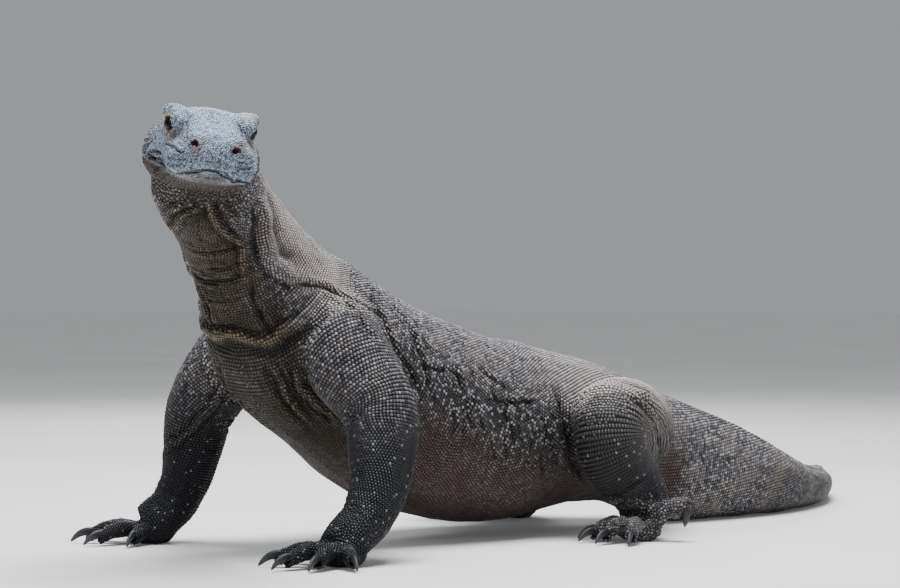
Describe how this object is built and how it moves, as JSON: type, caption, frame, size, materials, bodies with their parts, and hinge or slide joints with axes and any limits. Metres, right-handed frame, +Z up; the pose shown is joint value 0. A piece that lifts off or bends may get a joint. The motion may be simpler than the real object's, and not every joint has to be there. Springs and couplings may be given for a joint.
{
  "type": "komodo dragon",
  "caption": "Large monitor lizard standing on straight forelegs with its head turned, belly low and a long tail curved along the floor.",
  "frame": {"origin": "on the floor, under the middle of the bounding box", "axes": "+Z up; -Y the way the trunk faces, so the tail lies towards +Y; +X the animal's left"},
  "size_m": [0.9252, 1.6498, 0.4993],
  "materials": {
    "head_skin": "pale blue-grey scaly hide, matt",
    "body_skin": "dark grey-brown scaly hide, matt",
    "eye": "dark wet eye",
    "claw": "grey horn"
  },
  "bodies": {
    "root": {"head": "head_skin", "lower_jaw": "head_skin", "neck": "body_skin", "chest": "body_skin", "belly": "body_skin", "pelvis": "body_skin", "tail_root": "body_skin", "tail_middle": "body_skin", "tail_end": "body_skin", "tail_tip": "body_skin", "upper_arm_left": "body_skin", "forearm_left": "body_skin", "hand_left": "body_skin", "upper_arm_right": "body_skin", "forearm_right": "body_skin", "hand_right": "body_skin", "thigh_left": "body_skin", "shin_left": "body_skin", "foot_left": "body_skin", "thigh_right": "body_skin", "shin_right": "body_skin", "foot_right": "body_skin", "eye_left": "eye", "eye_right": "eye", "claw_hand_left_1": "claw", "claw_hand_left_2": "claw", "claw_hand_left_3": "claw", "claw_hand_left_4": "claw", "claw_hand_left_5": "claw", "claw_hand_right_1": "claw", "claw_hand_right_2": "claw", "claw_hand_right_3": "claw", "claw_hand_right_4": "claw", "claw_hand_right_5": "claw", "claw_foot_left_1": "claw", "claw_foot_left_2": "claw", "claw_foot_left_3": "claw", "claw_foot_left_4": "claw", "claw_foot_left_5": "claw", "claw_foot_right_1": "claw", "claw_foot_right_2": "claw", "claw_foot_right_3": "claw", "claw_foot_right_4": "claw", "claw_foot_right_5": "claw"}
  },
  "joints": []
}
